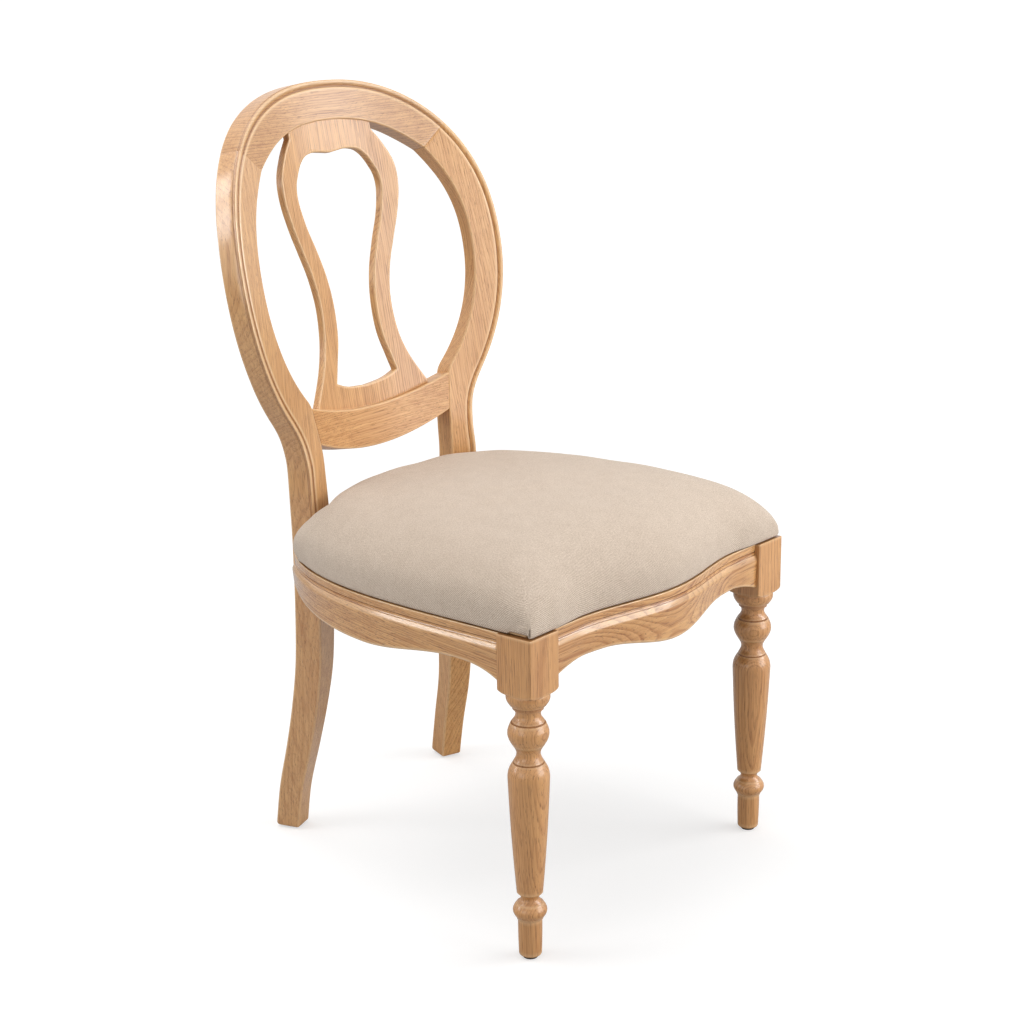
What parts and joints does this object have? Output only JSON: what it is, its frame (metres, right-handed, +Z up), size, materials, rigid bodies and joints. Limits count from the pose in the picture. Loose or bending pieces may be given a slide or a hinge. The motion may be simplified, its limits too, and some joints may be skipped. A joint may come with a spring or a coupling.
{
  "type": "dining chair",
  "caption": "Balloon-back oak dining chair with a pierced splat, moulded serpentine seat rails, turned front legs, swept rear legs and an upholstered seat.",
  "frame": {"origin": "centre of the chair's footprint box, on the floor", "axes": "+Z up; the front of the seat faces -Y; +X to the right when looking along +Y from the front"},
  "size_m": [0.516, 0.6254, 1.0023],
  "materials": {
    "oak_frame": "clear satin lacquer on light oak with open grain",
    "oak_legs": "clear satin lacquer on light oak, turned",
    "plywood": "raw birch plywood",
    "foam": "open-cell upholstery foam with wadding",
    "seat_cloth": "woven linen-look cloth, fine diagonal weave",
    "cambric": "thin non-woven dust cloth",
    "beech": "raw beech dowel",
    "block_wood": "raw sawn hardwood",
    "screw_steel": "zinc plated",
    "glide_plastic": "moulded nail-on glide"
  },
  "bodies": {
    "root": {"back_post_left": "oak_frame", "back_post_right": "oak_frame", "crest_rail": "oak_frame", "lower_back_rail": "oak_frame", "splat": "oak_frame", "front_leg_left": "oak_legs", "front_leg_right": "oak_legs", "front_rail": "oak_frame", "side_rail_left": "oak_frame", "side_rail_right": "oak_frame", "rear_seat_rail": "oak_frame", "corner_block_front_left": "block_wood", "corner_block_front_right": "block_wood", "corner_block_rear_left": "block_wood", "corner_block_rear_right": "block_wood", "seat_board": "plywood", "seat_foam": "foam", "seat_cover": "seat_cloth", "dust_cover": "cambric", "crest_dowels": "beech", "lower_rail_dowels": "beech", "front_joint_dowels": "beech", "rear_joint_dowels": "beech", "corner_block_screws": "screw_steel", "seat_screws": "screw_steel", "foot_glides": "glide_plastic"}
  },
  "joints": []
}
